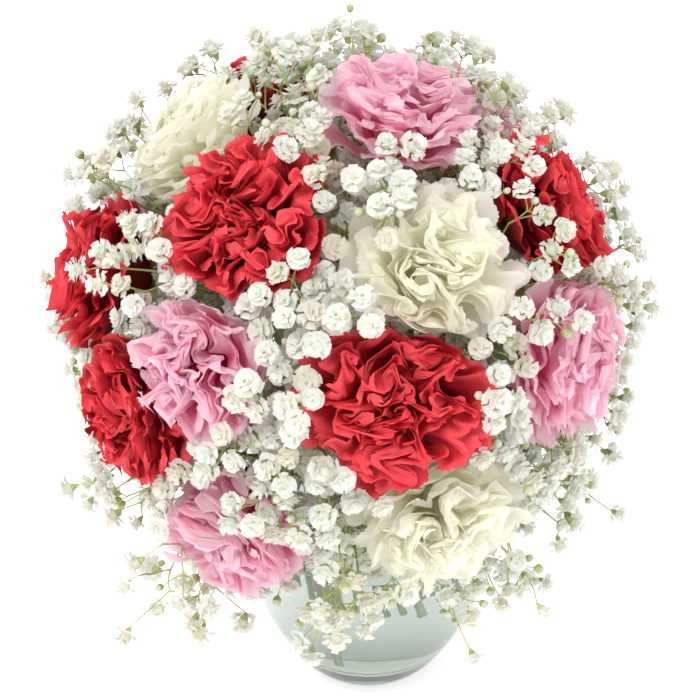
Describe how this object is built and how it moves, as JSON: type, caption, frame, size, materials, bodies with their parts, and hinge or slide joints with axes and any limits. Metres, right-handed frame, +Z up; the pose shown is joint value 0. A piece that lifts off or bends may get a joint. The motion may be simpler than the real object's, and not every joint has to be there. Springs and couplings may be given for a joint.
{
  "type": "carnations in a glass vase",
  "caption": "Round bouquet of red, pink and cream carnations with white gypsophila between them, standing in a tapered clear glass vase with a thick base.",
  "frame": {"origin": "middle of the vase's flat foot, on the surface it stands on", "axes": "+Z up through the vase's axis, -Y towards the front of the bouquet, +X to the right seen from the front"},
  "size_m": [0.3044, 0.2943, 0.3728],
  "materials": {
    "red_petals": "matte",
    "pink_petals": "matte",
    "cream_petals": "matte",
    "green_stem": "satin",
    "gypsophila": "matte",
    "glass": "gloss"
  },
  "bodies": {
    "root": {"carnation_01_petals": "red_petals", "carnation_01_stem": "green_stem", "carnation_02_petals": "red_petals", "carnation_02_stem": "green_stem", "carnation_03_petals": "red_petals", "carnation_03_stem": "green_stem", "carnation_04_petals": "red_petals", "carnation_04_stem": "green_stem", "carnation_05_petals": "red_petals", "carnation_05_stem": "green_stem", "carnation_06_petals": "pink_petals", "carnation_06_stem": "green_stem", "carnation_07_petals": "pink_petals", "carnation_07_stem": "green_stem", "carnation_08_petals": "pink_petals", "carnation_08_stem": "green_stem", "carnation_09_petals": "pink_petals", "carnation_09_stem": "green_stem", "carnation_10_petals": "cream_petals", "carnation_10_stem": "green_stem", "carnation_11_petals": "cream_petals", "carnation_11_stem": "green_stem", "carnation_12_petals": "cream_petals", "carnation_12_stem": "green_stem", "carnation_13_petals": "red_petals", "carnation_13_stem": "green_stem", "carnation_14_petals": "pink_petals", "carnation_14_stem": "green_stem", "carnation_15_petals": "cream_petals", "carnation_15_stem": "green_stem", "carnation_16_petals": "pink_petals", "carnation_16_stem": "green_stem", "carnation_17_petals": "red_petals", "carnation_17_stem": "green_stem", "gypsophila_01": "gypsophila", "gypsophila_02": "gypsophila", "gypsophila_03": "gypsophila", "gypsophila_04": "gypsophila", "gypsophila_05": "gypsophila", "gypsophila_06": "gypsophila", "gypsophila_07": "gypsophila", "gypsophila_08": "gypsophila", "gypsophila_09": "gypsophila", "gypsophila_10": "gypsophila", "gypsophila_11": "gypsophila", "gypsophila_12": "gypsophila", "gypsophila_13": "gypsophila", "gypsophila_14": "gypsophila", "gypsophila_15": "gypsophila", "gypsophila_16": "gypsophila", "gypsophila_17": "gypsophila", "gypsophila_18": "gypsophila", "gypsophila_19": "gypsophila", "gypsophila_20": "gypsophila", "gypsophila_21": "gypsophila", "gypsophila_22": "gypsophila", "gypsophila_23": "gypsophila", "gypsophila_24": "gypsophila", "vase": "glass"}
  },
  "joints": []
}
